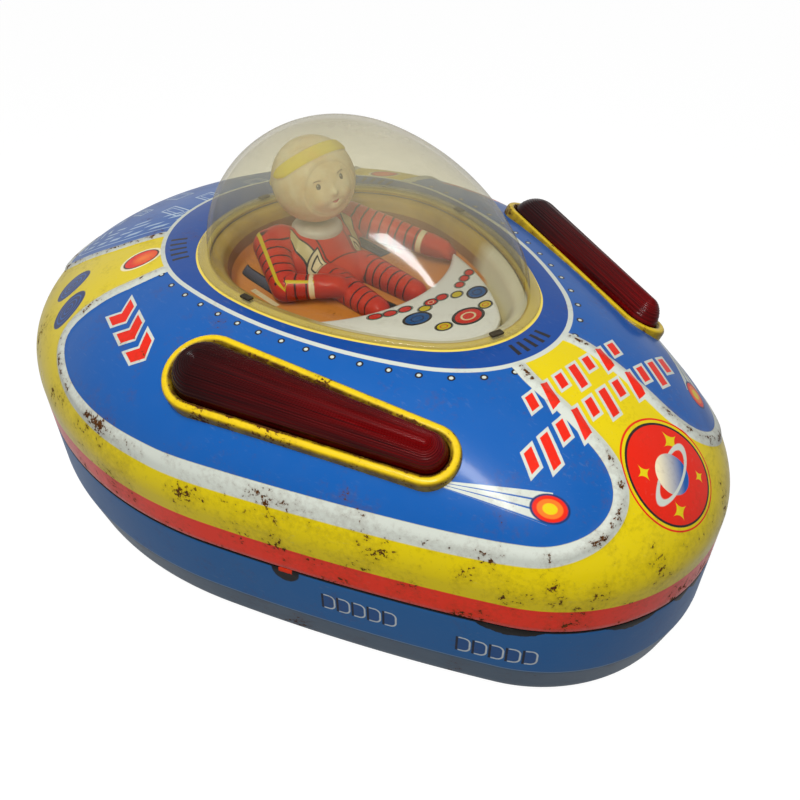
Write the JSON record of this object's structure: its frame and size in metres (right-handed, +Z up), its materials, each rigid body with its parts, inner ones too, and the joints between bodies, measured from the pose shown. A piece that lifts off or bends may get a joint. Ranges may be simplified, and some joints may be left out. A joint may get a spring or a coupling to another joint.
{
  "type": "tin toy space car",
  "caption": "Teardrop tin toy space car with clear canopy over a seated pilot, red side lenses, bump-and-go drive turret, rolling rear wheels and battery hatch.",
  "frame": {"origin": "on the ground under the middle of the body", "axes": "+X to the nose, +Y to the car's left, +Z up"},
  "size_m": [0.2201, 0.165, 0.102],
  "materials": {
    "tin_blue": "gloss litho print, worn",
    "tin_pan": "gloss litho print, dulled",
    "tin_red": "gloss litho print",
    "tin_tray": "gloss litho print",
    "tin_dash": "gloss litho print",
    "tin_suit": "gloss litho print",
    "collar_white": "semi-gloss",
    "head_vinyl": "soft vinyl, yellowed",
    "canopy_clear": "clear, yellowed and scuffed",
    "tab_dark": "tarnished",
    "lens_red": "translucent, ribbed",
    "rim_yellow": "gloss litho print, worn edge",
    "lamp_glass": "clear",
    "zinc_plate": "plain plated",
    "motor_steel": "plain plated",
    "axle_steel": "drawn bright",
    "brass_gear": "plain",
    "nylon_gear": "moulded",
    "rubber_black": "matt",
    "wheel_tin": "plain plated",
    "cell_jacket": "plain jacket",
    "switch_black": "moulded"
  },
  "bodies": {
    "base": {"upper_shell": "tin_blue", "lower_pan": "tin_pan", "shell_tabs": "tin_red", "cockpit_tray": "tin_tray", "dash_panel": "tin_dash", "pilot_body": "tin_suit", "neck_collar": "collar_white", "canopy_dome": "canopy_clear", "canopy_tabs": "tab_dark", "right_lens": "lens_red", "left_lens": "lens_red", "right_lens_rim": "rim_yellow", "left_lens_rim": "rim_yellow", "right_lamp": "lamp_glass", "left_lamp": "lamp_glass", "right_lamp_post": "zinc_plate", "left_lamp_post": "zinc_plate", "gear_plate": "zinc_plate", "top_plate": "zinc_plate", "plate_posts": "zinc_plate", "motor_can": "motor_steel", "gear_pin": "axle_steel", "rear_brackets": "zinc_plate", "battery_box": "zinc_plate", "right_cell": "cell_jacket", "left_cell": "cell_jacket", "front_contact": "brass_gear", "rear_contact": "brass_gear", "switch_case": "switch_black", "door_pin": "axle_steel"},
    "head": {"pilot_head": "head_vinyl"},
    "motor_rotor": {"motor_shaft": "axle_steel", "motor_pinion": "brass_gear"},
    "reduction": {"reduction_gear": "nylon_gear"},
    "drive": {"drive_shaft": "axle_steel", "output_gear": "nylon_gear", "drive_pinion": "brass_gear"},
    "turret": {"turret": "zinc_plate", "turret_clip": "tab_dark"},
    "drive_wheels": {"drive_axle": "axle_steel", "crown_gear": "nylon_gear", "right_drive_wheel": "rubber_black", "left_drive_wheel": "rubber_black"},
    "rear_wheels": {"rear_axle": "axle_steel", "right_rear_wheel": "wheel_tin", "left_rear_wheel": "wheel_tin", "right_rear_tyre": "rubber_black", "left_rear_tyre": "rubber_black"},
    "door": {"battery_door": "tin_pan"},
    "switch": {"switch_lever": "zinc_plate"}
  },
  "joints": [
    {"name": "head_turn", "type": "hinge", "parent": "base", "child": "head", "pos_m": [-0.021, 0, 0.084], "axis": [0, 0, 1], "range_deg": [-70, 70]},
    {"name": "drive_spin", "type": "hinge", "parent": "base", "child": "drive", "pos_m": [0.045, 0, 0.03], "axis": [0, 0, 1], "continuous": true},
    {"name": "reduction_spin", "type": "hinge", "parent": "base", "child": "reduction", "pos_m": [0.026, 0, 0.042], "axis": [0, 0, 1], "continuous": true},
    {"name": "motor_spin", "type": "hinge", "parent": "base", "child": "motor_rotor", "pos_m": [0.006, 0, 0.04], "axis": [0, 0, 1], "continuous": true},
    {"name": "turret_swivel", "type": "hinge", "parent": "base", "child": "turret", "pos_m": [0.045, 0, 0.02], "axis": [0, 0, 1], "continuous": true},
    {"name": "drive_wheel_spin", "type": "hinge", "parent": "turret", "child": "drive_wheels", "pos_m": [0.045, 0, 0.009], "axis": [0, 1, 0], "continuous": true},
    {"name": "rear_wheel_spin", "type": "hinge", "parent": "base", "child": "rear_wheels", "pos_m": [-0.068, 0, 0.012], "axis": [0, 1, 0], "continuous": true},
    {"name": "door_hinge", "type": "hinge", "parent": "base", "child": "door", "pos_m": [-0.0124, 0, 0.00375], "axis": [0, -1, 0], "range_deg": [0, 95]},
    {"name": "switch_slide", "type": "slide", "parent": "base", "child": "switch", "axis": [0, 1, 0], "range_m": [0, 0.004]}
  ],
  "couplings": [
    {"joint": "reduction_spin", "follows": "drive_spin", "ratio": -2.8},
    {"joint": "motor_spin", "follows": "drive_spin", "ratio": 8.4},
    {"joint": "drive_wheel_spin", "follows": "drive_spin", "ratio": -0.5}
  ]
}
